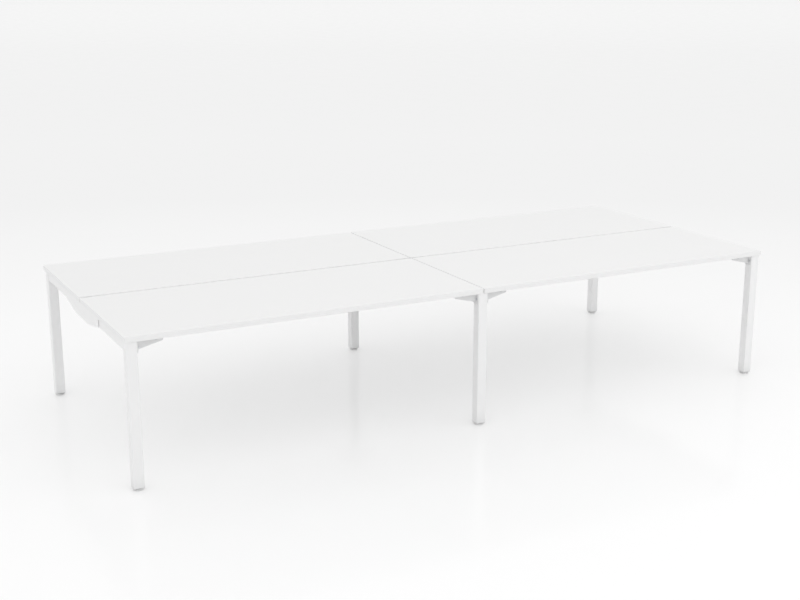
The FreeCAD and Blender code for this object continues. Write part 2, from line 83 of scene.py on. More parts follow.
BLACK: Colour = (0.0, 0.0, 0.0)
PURE_WHITE: Colour = (1.0, 1.0, 1.0)
FRAME_WHITE: Colour = (0.905, 0.906, 0.907)


class Side(Enum):
    """The two long sides of the desk."""

    FRONT = "front"
    REAR = "rear"


class End(Enum):
    """The three leg frames along the desk."""

    LEFT = "left"
    MIDDLE = "middle"
    RIGHT = "right"


class Bay(Enum):
    """The two bays between the leg frames."""

    LEFT = "left"
    RIGHT = "right"


class GussetPlace(Enum):
    """Which leg a gusset stands at, and on which of its faces."""

    LEFT = "left"
    MIDDLE_LEFT = "middle_left"
    MIDDLE_RIGHT = "middle_right"
    RIGHT = "right"


class FastenerKind(Enum):
    """The groups of screws and bolts, by what they hold."""

    TOP_SCREWS = "top_screws"
    GUSSET_BOLTS = "gusset_bolts"
    BEAM_BOLTS = "beam_bolts"
    BRIDGE_BOLTS = "bridge_bolts"


class Slot(Enum):
    """Material slots of the record."""

    WORKTOP = "worktop_white"
    EDGING = "edging_white"
    FRAME = "frame_white"
    CASTING = "casting_white"
    PLUG = "plug_grey"
    PAD = "pad_grey"
    ZINC = "zinc_steel"


@dataclass(frozen=True)
class Sock:
    """A shader socket that takes part in sums as a number does."""

    tree: bpy.types.NodeTree
    socket: bpy.types.NodeSocket

    def _math(self, operation: str, first: Sock | float, second: Sock | float) -> Sock:
        """Adds one Math node.

        Args:
            operation: The Math node's operation.
            first: Its first value or link.
            second: Its second value or link.

        Returns:
            The node's result.
        """
        node = self.tree.nodes.new("ShaderNodeMath")
        node.operation = operation
        for place, term in zip(node.inputs, (first, second)):
            if isinstance(term, Sock):
                self.tree.links.new(term.socket, place)
            else:
                place.default_value = term
        return Sock(self.tree, node.outputs[0])

    def __add__(self, other: Sock | float) -> Sock:
        """This value plus another."""
        return self._math("ADD", self, other)

    def __radd__(self, other: float) -> Sock:
        """A number plus this value."""
        return self._math("ADD", other, self)

    def __sub__(self, other: Sock | float) -> Sock:
        """This value less another."""
        return self._math("SUBTRACT", self, other)

    def __rsub__(self, other: float) -> Sock:
        """A number less this value."""
        return self._math("SUBTRACT", other, self)

    def __mul__(self, other: Sock | float) -> Sock:
        """This value times another."""
        return self._math("MULTIPLY", self, other)

    def __rmul__(self, other: float) -> Sock:
        """A number times this value."""
        return self._math("MULTIPLY", other, self)

    def __or__(self, other: Sock | float) -> Sock:
        """The larger of this value and another."""
        return self._math("MAXIMUM", self, other)

    def __ror__(self, other: float) -> Sock:
        """The larger of a number and this value."""
        return self._math("MAXIMUM", other, self)


@dataclass(frozen=True)
class Grain:
    """A noise: its features to the metre, octaves of finer detail, and scale along each axis."""

    scale: float
    detail: float = 2.0
    stretch: Triple = (1.0, 1.0, 1.0)


@dataclass(frozen=True)
class Relief:
    """A bump: the depth in metres that a height of 1 stands for, and how much of it shows."""

    depth: float
    strength: float


class Paint:
    """A node tree that is being filled, with one way to add nodes."""

    # The Mix node's sockets share their names among types, so its factor and colour sockets go by number.
    MIX_FACTOR, MIX_FIRST, MIX_SECOND, MIX_RESULT = 0, 6, 7, 2

    def __init__(self, tree: bpy.types.NodeTree) -> None:
        """Starts from an empty tree, of a material or of the world."""
        self.tree = tree
        self.tree.nodes.clear()

    def node(
        self,
        kind: str,
        settings: dict[str, object] | None = None,
        inputs: dict[str | int, object] | None = None,
    ) -> bpy.types.Node:
        """Adds a node.

        Args:
            kind: The node's type.
            settings: Its own settings, set first; "stops" gives a ramp's places and grey levels.
            inputs: Values or links for its sockets, by name or by number.

        Returns:
            The node.
        """
        node = self.tree.nodes.new(kind)
        for name, value in (settings or {}).items():
            if name == "stops":
                for stop, (place, level) in zip(node.color_ramp.elements, value):
                    stop.position = place
                    stop.color = (level, level, level, OPAQUE)
            else:
                setattr(node, name, value)
        for name, value in (inputs or {}).items():
            if isinstance(value, Sock):
                self.tree.links.new(value.socket, node.inputs[name])
            else:
                node.inputs[name].default_value = value
        return node

    def out(self, node: bpy.types.Node, name: str | int = 0) -> Sock:
        """One output of a node."""
        return Sock(self.tree, node.outputs[name])

    def place(self, coordinates: str = "Object") -> Sock:
        """A point's place, in the piece's own coordinates or in others."""
        return self.out(self.node("ShaderNodeTexCoord"), coordinates)

    def noise(self, grain: Grain) -> Sock:
        """Adds noise on the piece's own coordinates.

        Args:
            grain: The noise's size and detail.

        Returns:
            A value about one half.
        """
        placed = self.node("ShaderNodeMapping", inputs={"Vector": self.place(), "Scale": grain.stretch})
        inputs = {"Vector": self.out(placed), "Scale": grain.scale, "Detail": grain.detail}
        return self.out(self.node("ShaderNodeTexNoise", inputs=inputs), "Fac")

    def cells(self, scale: float) -> Sock:
        """Random grey cells on the piece's own coordinates, scale to the metre."""
        flakes = self.node("ShaderNodeTexVoronoi", inputs={"Vector": self.place(), "Scale": scale})
        return self.grey(self.out(flakes, "Color"))

    def grey(self, colour: Sock) -> Sock:
        """A colour's brightness."""
        return self.out(self.node("ShaderNodeRGBToBW", inputs={"Color": colour}))

    def ramp(self, factor: Sock, span: Span = (0.0, 1.0)) -> Sock:
        """Stretches the part of a value within a span to the range 0 to 1, and holds it there.

        Args:
            factor: The value.
            span: Where it starts to rise from 0, and where it reaches 1.

        Returns:
            The stretched value.
        """
        start, stop = span
        stops = ((start, 0.0), (stop, 1.0))
        eased = self.node("ShaderNodeValToRGB", {"stops": stops}, {"Fac": factor})
        return self.grey(self.out(eased))

    def between(self, factor: Sock, first: Colour | Sock, second: Colour | Sock) -> Sock:
        """Mixes two colours.

        Args:
            factor: The share of the second colour.
            first: The colour at a factor of 0.
            second: The colour at a factor of 1.

        Returns:
            The mixed colour.
        """
        ends = [end if isinstance(end, Sock) else (*end, OPAQUE) for end in (first, second)]
        inputs = {self.MIX_FACTOR: factor, self.MIX_FIRST: ends[0], self.MIX_SECOND: ends[1]}
        return self.out(self.node("ShaderNodeMix", {"data_type": "RGBA"}, inputs), self.MIX_RESULT)

    def bump(self, height: Sock, relief: Relief) -> Sock:
        """A normal from a height of 0 to 1."""
        inputs = {"Height": height, "Distance": relief.depth, "Strength": relief.strength}
        return self.out(self.node("ShaderNodeBump", inputs=inputs))

    def shown(self) -> Sock:
        """Tells what the camera sees from what lights the desk.

        Returns:
            One for rays from the camera, straight or by gloss or glass, and zero for the others.
        """
        light = self.node("ShaderNodeLightPath")
        straight = self.out(light, "Is Camera Ray")
        return straight | self.out(light, "Is Glossy Ray") | self.out(light, "Is Transmission Ray")

    def mixed(self, factor: Sock, first: bpy.types.Node, second: bpy.types.Node) -> Sock:
        """A shader that goes from first to second with factor."""
        inputs = {0: factor, 1: self.out(first), 2: self.out(second)}
        return self.out(self.node("ShaderNodeMixShader", inputs=inputs))

    def surface(self, inputs: dict[str | int, object]) -> None:
        """Ends a material with one Principled shader that has these values and links."""
        shader = self.node("ShaderNodeBsdfPrincipled", inputs=inputs)
        self.node("ShaderNodeOutputMaterial", inputs={"Surface": self.out(shader)})


@dataclass(frozen=True)
class Finish:
    """What every finish has: a name, a colour, a gloss and a strength of reflection."""

    name: str
    colour: Colour
    roughness: float
    specular: float = 0.5

    def material(self) -> bpy.types.Material:
        """Makes the finish's material.

        Returns:
            The material, with its nodes.
        """
        made = bpy.data.materials.new(self.name)
        made.use_nodes = True
        self.dress(Paint(made.node_tree))
        return made

    def dress(self, paint: Paint) -> None:
        """Adds the finish's nodes; each finish has its own."""
        raise NotImplementedError

    def shades(self, paint: Paint, factor: Sock, shares: Span) -> Sock:
        """The finish's colour times a share that goes from the first to the second with factor."""
        first, second = (tuple(share * part for part in self.colour) for share in shares)
        return paint.between(factor, first, second)


@dataclass(frozen=True)
class MelamineFacing(Finish):
    """Matt melamine paper pressed on particle board, with a fine pearl texture."""

    specular: float = 0.35
    cloud: Grain = Grain(2.2, 3.0)
    cloud_shares: Span = (0.994, 1.006)
    pearl: Grain = Grain(1100.0, 1.0)
    pearl_relief: Relief = Relief(0.05 * MM, 0.35)
    pearl_gloss: float = 0.05
    rubbing: Grain = Grain(7.0, 4.0)
    rubbed_span: Span = (0.35, 0.7)
    rubbed_gloss: float = 0.04

    def dress(self, paint: Paint) -> None:
        """Clouds the white very faintly and presses the pearl texture in.

        Args:
            paint: The material's node tree.
        """
        pearl = paint.noise(self.pearl)
        rubbed = paint.ramp(paint.noise(self.rubbing), self.rubbed_span)
        dullness = self.roughness + self.pearl_gloss * (pearl - NOISE_MEAN)
        paint.surface(
            {
                "Base Color": self.shades(paint, paint.noise(self.cloud), self.cloud_shares),
                "Roughness": dullness - self.rubbed_gloss * rubbed,
                "Specular IOR Level": self.specular,
                "Normal": paint.bump(pearl, self.pearl_relief),
            }
        )


@dataclass(frozen=True)
class ExtrudedEdging(Finish):
    """Plastic edging strip with the faint lines of its extrusion and of the trimming cutter."""

    specular: float = 0.35
    lines: Grain = Grain(900.0, 1.0, (0.02, 0.02, 1.0))
    line_relief: Relief = Relief(0.03 * MM, 0.3)
    line_gloss: float = 0.08
    wander: Grain = Grain(5.0, 2.0)
    wander_shares: Span = (0.99, 1.008)

    def dress(self, paint: Paint) -> None:
        """Draws fine lines along the strip and varies its gloss with them.

        Args:
            paint: The material's node tree.
        """
        lines = paint.noise(self.lines)
        paint.surface(
            {
                "Base Color": self.shades(paint, paint.noise(self.wander), self.wander_shares),
                "Roughness": self.roughness + self.line_gloss * (lines - NOISE_MEAN),
                "Specular IOR Level": self.specular,
                "Normal": paint.bump(lines, self.line_relief),
            }
        )


@dataclass(frozen=True)
class PowderCoat(Finish):
    """Fine white powder coat, with its orange peel and a few pinpoint nibs."""

    specular: float = 0.45
    film: Grain = Grain(6.0, 3.0)
    film_shares: Span = (0.985, 1.01)
    film_gloss: float = 0.05
    peel: Grain = Grain(520.0, 2.0)
    peel_relief: Relief = Relief(0.10 * MM, 0.4)
    peel_gloss: float = 0.10
    nibs: Grain = Grain(160.0, 0.0)
    nib_span: Span = (0.74, 0.80)
    nib_height: float = 0.6

    def dress(self, paint: Paint) -> None:
        """Lays the peel over a slow drift of film thickness.

        Args:
            paint: The material's node tree.
        """
        film = paint.noise(self.film)
        peel = paint.noise(self.peel)
        nibs = paint.ramp(paint.noise(self.nibs), self.nib_span)
        dullness = self.roughness + self.peel_gloss * (peel - NOISE_MEAN)
        paint.surface(
            {
                "Base Color": self.shades(paint, film, self.film_shares),
                "Roughness": dullness + self.film_gloss * (film - NOISE_MEAN),
                "Specular IOR Level": self.specular,
                "Normal": paint.bump(peel + self.nib_height * nibs, self.peel_relief),
            }
        )


@dataclass(frozen=True)
class WeldBead(PowderCoat):
    """Powder coat over the ripples of a weld bead."""

    ripples: Grain = Grain(420.0, 0.0)
    ripple_shade_shares: Span = (0.96, 1.01)
    ripple_relief: Relief = Relief(0.5 * MM, 0.5)
    peel_height: float = 0.2

    def dress(self, paint: Paint) -> None:
        """Lays the coat over the bead's ripples, with painted shade in their hollows.

        Args:
            paint: The material's node tree.
        """
        ripples = paint.noise(self.ripples)
        peel = paint.noise(self.peel)
        paint.surface(
            {
                # Colour follows the ripple height: painted shade, darker in the ripples' hollows.
                "Base Color": self.shades(paint, ripples, self.ripple_shade_shares),
                "Roughness": self.roughness + self.peel_gloss * (peel - NOISE_MEAN),
                "Specular IOR Level": self.specular,
                "Normal": paint.bump(ripples + self.peel_height * peel, self.ripple_relief),
            }
        )


@dataclass(frozen=True)
class CastCoat(PowderCoat):
    """Thinner powder coat over a casting, which shows through a little; the darker base colour it is given
    for the gussets is painted shade.
    """

    specular: float = 0.4
    skin: Grain = Grain(300.0, 3.0)
    skin_relief: Relief = Relief(0.25 * MM, 0.35)
    skin_gloss: float = 0.10
    thinning: Grain = Grain(35.0, 3.0)
    thin_span: Span = (0.4, 0.75)
    thin_shares: Span = (1.0, 0.96)
    thin_gloss: float = 0.05
    peel_height: float = 0.3

    def dress(self, paint: Paint) -> None:
        """Lays the peel over the casting's coarser skin.

        Args:
            paint: The material's node tree.
        """
        skin = paint.noise(self.skin)
        peel = paint.noise(self.peel)
        thin = paint.ramp(paint.noise(self.thinning), self.thin_span)
        dullness = self.roughness + self.skin_gloss * (skin - NOISE_MEAN)
        paint.surface(
            {
                "Base Color": self.shades(paint, thin, self.thin_shares),
                "Roughness": dullness + self.thin_gloss * thin,
                "Specular IOR Level": self.specular,
                "Normal": paint.bump(skin + self.peel_height * peel, self.skin_relief),
            }
        )


@dataclass(frozen=True)
class MouldedNylon(Finish):
    """Nylon moulded in a spark-eroded tool, with faint flow marks."""

    specular: float = 0.4
    spark: Grain = Grain(1500.0, 2.0)
    spark_relief: Relief = Relief(0.06 * MM, 0.4)
    spark_gloss: float = 0.12
    flow: Grain = Grain(60.0, 3.0, (1.0, 1.0, 0.3))
    flow_shares: Span = (0.95, 1.04)

    def dress(self, paint: Paint) -> None:
        """Gives the moulding its fine texture and its flow marks.

        Args:
            paint: The material's node tree.
        """
        spark = paint.noise(self.spark)
        paint.surface(
            {
                "Base Color": self.shades(paint, paint.noise(self.flow), self.flow_shares),
                "Roughness": self.roughness + self.spark_gloss * (spark - NOISE_MEAN),
                "Specular IOR Level": self.specular,
                "Normal": paint.bump(spark, self.spark_relief),
            }
        )


@dataclass(frozen=True)
class ZincPlate(Finish):
    """Bright zinc plate: a grey metal with small crystals and a faint blue passivation."""

    passivated: Colour = (0.60, 0.63, 0.68)
    drift: Grain = Grain(90.0, 2.0)
    drift_span: Span = (0.3, 0.7)
    drift_gloss: float = 0.06
    crystal_scale: float = 700.0
    crystal_relief: Relief = Relief(0.02 * MM, 0.3)
    crystal_gloss: float = 0.10

    def dress(self, paint: Paint) -> None:
        """Varies tint and gloss from crystal to crystal.

        Args:
            paint: The material's node tree.
        """
        crystals = paint.cells(self.crystal_scale)
        drift = paint.ramp(paint.noise(self.drift), self.drift_span)
        dullness = self.roughness + self.crystal_gloss * (crystals - NOISE_MEAN)
        paint.surface(
            {
                "Base Color": paint.between(drift, self.colour, self.passivated),
                "Metallic": 1.0,
                "Roughness": dullness + self.drift_gloss * drift,
                "Specular IOR Level": self.specular,
                "Normal": paint.bump(crystals, self.crystal_relief),
            }
        )


@dataclass(frozen=True)
class StudioFloor(Finish):
    """Pale polished floor that runs out into the backdrop, painted darker with distance as light falls
    off, and keeps the desk's shadow.
    """

    far_shaded_colour: Colour = (0.905, 0.905, 0.905)
    bright_spot: Triple = (-3.2, -5.9, 0.0)
    near_reach: float = 7.0
    far_reach: float = 12.5
    lift: float = 0.22
    contact_reach: float = 0.12
    contact_share: float = 0.4
    contact_shade: Colour = BLACK
    polish: Grain = Grain(3.0, 2.0)
    polish_gloss: float = 0.04

    def dress(self, paint: Paint) -> None:
        """Lifts the floor towards white for what the camera sees, and leaves its shadow in.

        What stands within the contact reach gets less light back from the floor, as in a contact shadow.

        Args:
            paint: The material's node tree.
        """
        # Painted light: the floor's colour fades from white near the bright spot to a grey far away, as
        # the light falls off.
        ends = {0: paint.place(), 1: self.bright_spot}
        away = paint.out(paint.node("ShaderNodeVectorMath", {"operation": "DISTANCE"}, ends), "Value")
        far = paint.ramp((1.0 / (self.far_reach - self.near_reach)) * (away - self.near_reach))
        painted_falloff = paint.between(far, self.colour, self.far_shaded_colour)
        light = paint.node("ShaderNodeLightPath")
        close = 1.0 - paint.ramp((1.0 / self.contact_reach) * paint.out(light, "Ray Length"))
        shaded = self.contact_share * close * paint.out(light, "Is Diffuse Ray")
        ground = paint.node(
            "ShaderNodeBsdfPrincipled",
            inputs={
                "Base Color": paint.between(shaded, painted_falloff, self.contact_shade),
                "Roughness": self.roughness + self.polish_gloss * paint.noise(self.polish),
                "Specular IOR Level": self.specular,
            },
        )
        glow = paint.node("ShaderNodeEmission", inputs={"Color": painted_falloff, "Strength": 1.0})
        lifted = paint.mixed(self.lift * paint.shown(), ground, glow)
        paint.node("ShaderNodeOutputMaterial", inputs={"Surface": lifted})


class FinishBook:
    """The desk's materials, one for each slot, and the weld's."""

    def __init__(self) -> None:
        """Mixes every finish once."""
        finishes = {
            Slot.WORKTOP: MelamineFacing("worktop_melamine", (0.872, 0.872, 0.870), 0.46),
            Slot.EDGING: ExtrudedEdging("edging_strip", (0.880, 0.881, 0.880), 0.46),
            Slot.FRAME: PowderCoat("frame_powder_coat", FRAME_WHITE, 0.42),
            # The castings' colour is darker than the frame's white: painted shade for the shade under the
            # tops at the gussets.
            Slot.CASTING: CastCoat("casting_coat_painted_shade", (0.78, 0.782, 0.785), 0.50),
            Slot.PLUG: MouldedNylon("plug_nylon", (0.80, 0.80, 0.80), 0.50),
            # The pads' grey is made paler than their own grey: painted light that offsets the shade at the
            # feet.
            Slot.PAD: MouldedNylon("pad_nylon_painted_light", (0.86, 0.86, 0.86), 0.52),
            Slot.ZINC: ZincPlate("zinc_plate", (0.64, 0.64, 0.63), 0.30),
        }
        self.by_slot = {slot: finish.material() for slot, finish in finishes.items()}
        self.weld = WeldBead("weld_powder_coat", FRAME_WHITE, 0.44).material()


class Workbench:
    """Modelling with operators, always from a cleared selection."""

    MERGE_DISTANCE = 0.01 * MM
    FLAT_ANGLE = math.radians(0.5)
    BEVEL_ANGLE = math.radians(38.0)
    SMOOTH_ANGLE = math.radians(32.0)

    @staticmethod
    def take(*pieces: bpy.types.Object) -> None:
        """Selects only these pieces.

        Args:
            pieces: The pieces; the first becomes the active one.
        """
        bpy.ops.object.select_all(action="DESELECT")
        for piece in pieces:
            piece.select_set(True)
        bpy.context.view_layer.objects.active = pieces[0]

    @staticmethod
    def settle(piece: bpy.types.Object) -> None:
        """Puts a piece's place, turn and scale into its mesh."""
        Workbench.take(piece)
        bpy.ops.object.transform_apply(location=True, rotation=True, scale=True)

    @staticmethod
    @contextmanager
    def editing(piece: bpy.types.Object) -> Iterator[None]:
        """Opens a piece's mesh in edit mode, and closes it with nothing selected in it.

        Args:
            piece: The piece.

        Yields:
            Nothing, once, while the mesh is open.
        """
        Workbench.take(piece)
        bpy.ops.object.mode_set(mode="EDIT")
        yield
        bpy.ops.mesh.select_all(action="DESELECT")
        bpy.ops.object.mode_set(mode="OBJECT")

    @staticmethod
    def pick_vertices(piece: bpy.types.Object, test: Callable[[bpy.types.MeshVertex], bool]) -> None:
        """Selects the vertices that pass a test, for the next edit.

        Args:
            piece: The piece whose vertices they are.
            test: Whether a vertex is wanted.
        """
        for part in (*piece.data.edges, *piece.data.polygons):
            part.select = False
        for vertex in piece.data.vertices:
            vertex.select = test(vertex)
        bpy.context.tool_settings.mesh_select_mode = (True, False, False)

    @staticmethod
    def pick_faces(piece: bpy.types.Object, test: Callable[[bpy.types.MeshPolygon], bool]) -> None:
        """Selects the faces that pass a test, for the next edit.

        Args:
            piece: The piece whose faces they are.
            test: Whether a face is wanted.
        """
        for part in (*piece.data.vertices, *piece.data.edges):
            part.select = False
        for face in piece.data.polygons:
            face.select = test(face)
        bpy.context.tool_settings.mesh_select_mode = (False, False, True)

    @staticmethod
    def apply(piece: bpy.types.Object, kind: str, settings: dict[str, object]) -> None:
        """Adds a modifier with these settings and applies it.

        Args:
            piece: The piece that is shaped.
            kind: The modifier's type.
            settings: Its settings.
        """
        modifier = piece.modifiers.new(kind.lower(), kind)
        for name, value in settings.items():
            setattr(modifier, name, value)
        Workbench.take(piece)
        bpy.ops.object.modifier_apply(modifier=modifier.name)

    @staticmethod
    def point_outwards(piece: bpy.types.Object) -> None:
        """Turns all faces of a closed piece outwards.

        Args:
            piece: The piece.
        """
        with Workbench.editing(piece):
            bpy.ops.mesh.select_all(action="SELECT")
            bpy.ops.mesh.normals_make_consistent(inside=False)

    @staticmethod
    def copy_node(node: bpy.types.Object, name: str) -> bpy.types.Object:
        """Copies a CAD node as a closed mesh with whole flat faces.

        Args:
            node: The CAD node.
            name: The new piece's name.

        Returns:
            The new piece, with its own mesh.
        """
        piece = bpy.data.objects.new(name, node.data.copy())
        bpy.context.scene.collection.objects.link(piece)
        Workbench.take(piece)
        bpy.ops.mesh.customdata_custom_splitnormals_clear()
        with Workbench.editing(piece):
            bpy.ops.mesh.select_all(action="SELECT")
            bpy.ops.mesh.remove_doubles(threshold=Workbench.MERGE_DISTANCE)
            bpy.ops.mesh.dissolve_limited(angle_limit=Workbench.FLAT_ANGLE)
        return piece

    @staticmethod
    def smooth(piece: bpy.types.Object, angle: float = SMOOTH_ANGLE) -> None:
        """Shades a piece smooth, apart from edges sharper than an angle."""
        Workbench.take(piece)
        bpy.ops.object.shade_smooth_by_angle(angle=angle)

    @staticmethod
    def soften(piece: bpy.types.Object, width: float, segments: int = 2) -> None:
        """Rounds a piece's sharp edges and smooths its shading.

        Args:
            piece: The piece.
            width: The rounding's width in metres.
            segments: Faces across the rounding.
        """
        settings = {
            "width": width,
            "segments": segments,
            "limit_method": "ANGLE",
            "angle_limit": Workbench.BEVEL_ANGLE,
            "use_clamp_overlap": True,
        }
        Workbench.apply(piece, "BEVEL", settings)
        Workbench.smooth(piece)


@dataclass
class SubAssembly:
    """What every sub-assembly has: the frame it dresses and the materials."""

    frame: dict[str, object]
    finishes: FinishBook

    def node(self, name: str) -> bpy.types.Object:
        """A CAD node by name."""
        return self.frame["nodes"][name]

    def paint(self, piece: bpy.types.Object, material: bpy.types.Material) -> None:
        """Puts one material in every slot of a piece.

        Args:
            piece: A new piece or a CAD node.
            material: The material.
        """
        if not piece.material_slots:
            piece.data.materials.append(material)
        for slot in piece.material_slots:
            slot.material = material

    def dress(self, name: str, slot: Slot) -> str:
        """Dresses a CAD node that stays.

        Args:
            name: The node.
            slot: The slot whose finish it takes.

        Returns:
            The node's name, for the log.
        """
        self.paint(self.node(name), self.finishes.by_slot[slot])
        return name

    def fit(
        self,
        piece: bpy.types.Object,
        slot: Slot,
        body: str,
        *stands_for: str,
        material: bpy.types.Material | None = None,
    ) -> str:
        """Dresses a new piece and sets it on its body.

        Args:
            piece: The piece.
            slot: The slot whose finish it takes.
            body: The body that carries it.
            stands_for: The CAD nodes that it replaces.
            material: Its own kind of that finish, where it has one.

        Returns:
            The piece's name, for the log.
        """
        self.paint(piece, material or self.finishes.by_slot[slot])
        if stands_for:
            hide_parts(*stands_for)
        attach(piece, body)
        return piece.name


@dataclass
class Worktops(SubAssembly):
    """The four tops: faced boards with an edging strip all round."""

    def build(self) -> Iterator[str]:
        """Dresses boards and strips.

        Yields:
            Each one's name.
        """
        for side in Side:
            for bay in Bay:
                yield self.dress(f"top_{side.value}_{bay.value}", Slot.WORKTOP)
                yield self.dress(f"edging_{side.value}_{bay.value}", Slot.EDGING)


@dataclass
class LegFrames(SubAssembly):
    """Legs, the arms welded to them, and the bridges between the arms."""

    bead_radius: float = 2.4 * MM
    bead_round_steps: int = 3
    bead_corner: float = 5.0 * MM
    bead_corner_steps: int = 4
    bead_top_gap: float = 4.0 * MM
    bead_smooth_angle: float = math.radians(40.0)

    def build(self) -> Iterator[str]:
        """Dresses the tubes and adds the welds.

        Yields:
            Each one's name.
        """
        for end in End:
            for side in Side:
                place = f"{side.value}_{end.value}"
                yield self.dress(f"leg_{place}", Slot.FRAME)
                yield self.dress(f"arm_{place}", Slot.FRAME)
                yield self.fit(self.weld(place, side), Slot.FRAME, "desk", material=self.finishes.weld)
            yield self.dress(f"bridge_{end.value}", Slot.FRAME)

    def weld(self, place: str, side: Side) -> bpy.types.Object:
        """Models the bead round the sides and underside of an arm, where it meets its leg.

        Args:
            place: Which arm.
            side: The long side that the arm's leg stands on.

        Returns:
            The bead.
        """
        Workbench.take(self.bead_path(place, side))
        bpy.ops.object.convert(target="CURVE")
        curve = bpy.context.object.data
        curve.bevel_depth = self.bead_radius
        curve.bevel_resolution = self.bead_round_steps
        curve.use_fill_caps = True
        bpy.ops.object.convert(target="MESH")
        bead = bpy.context.object
        Workbench.smooth(bead, self.bead_smooth_angle)
        return bead

    def bead_path(self, place: str, side: Side) -> bpy.types.Object:
        """Draws the line of a bead: down one side of the arm, under it and up the other.

        Args:
            place: Which arm.
            side: The long side that the arm's leg stands on.

        Returns:
            The line, a mesh of edges alone.
        """
        low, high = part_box(f"arm_{place}")
        meeting = low.y if side is Side.FRONT else high.y
        top = high.z - self.bead_top_gap
        middle = Vector((0.5 * (low.x + high.x), meeting, 0.5 * (low.z + top)))
        bpy.ops.object.select_all(action="DESELECT")
        bpy.ops.mesh.primitive_plane_add(size=1.0, location=middle, rotation=(QUARTER_TURN, 0.0, 0.0))
        path = bpy.context.object
        path.name = f"weld_{place}"
        path.scale = (high.x - low.x, top - low.z, 1.0)
        Workbench.settle(path)
        with Workbench.editing(path):
            bpy.ops.mesh.select_all(action="SELECT")
            bpy.ops.mesh.delete(type="ONLY_FACE")
        Workbench.pick_vertices(path, lambda vertex: vertex.co.z > middle.z)
        with Workbench.editing(path):
            bpy.ops.mesh.delete(type="EDGE")
        Workbench.pick_vertices(path, lambda vertex: vertex.co.z < middle.z)
        with Workbench.editing(path):
            bpy.ops.mesh.bevel(offset=self.bead_corner, segments=self.bead_corner_steps, affect="VERTICES")
        return path


@dataclass
class Gussets(SubAssembly):
    """Tapered cast gussets beside the legs, under the long edges."""

    edge_rounding: float = 1.2 * MM

    def build(self) -> Iterator[str]:
        """Makes each casting's edges round.

        Yields:
            Each casting's name.
        """
        for side in Side:
            for place in GussetPlace:
                name = f"gusset_{side.value}_{place.value}"
                casting = Workbench.copy_node(self.node(name), f"cast_{name}")
                Workbench.soften(casting, self.edge_rounding)
                yield self.fit(casting, Slot.CASTING, "desk", name)


@dataclass
class Beams(SubAssembly):
    """The two long beams of each bay."""

    def build(self) -> Iterator[str]:
        """Dresses the beams.

        Yields:
            Each beam's name.
        """
        for side in Side:
            for bay in Bay:
                yield self.dress(f"beam_{side.value}_{bay.value}", Slot.FRAME)


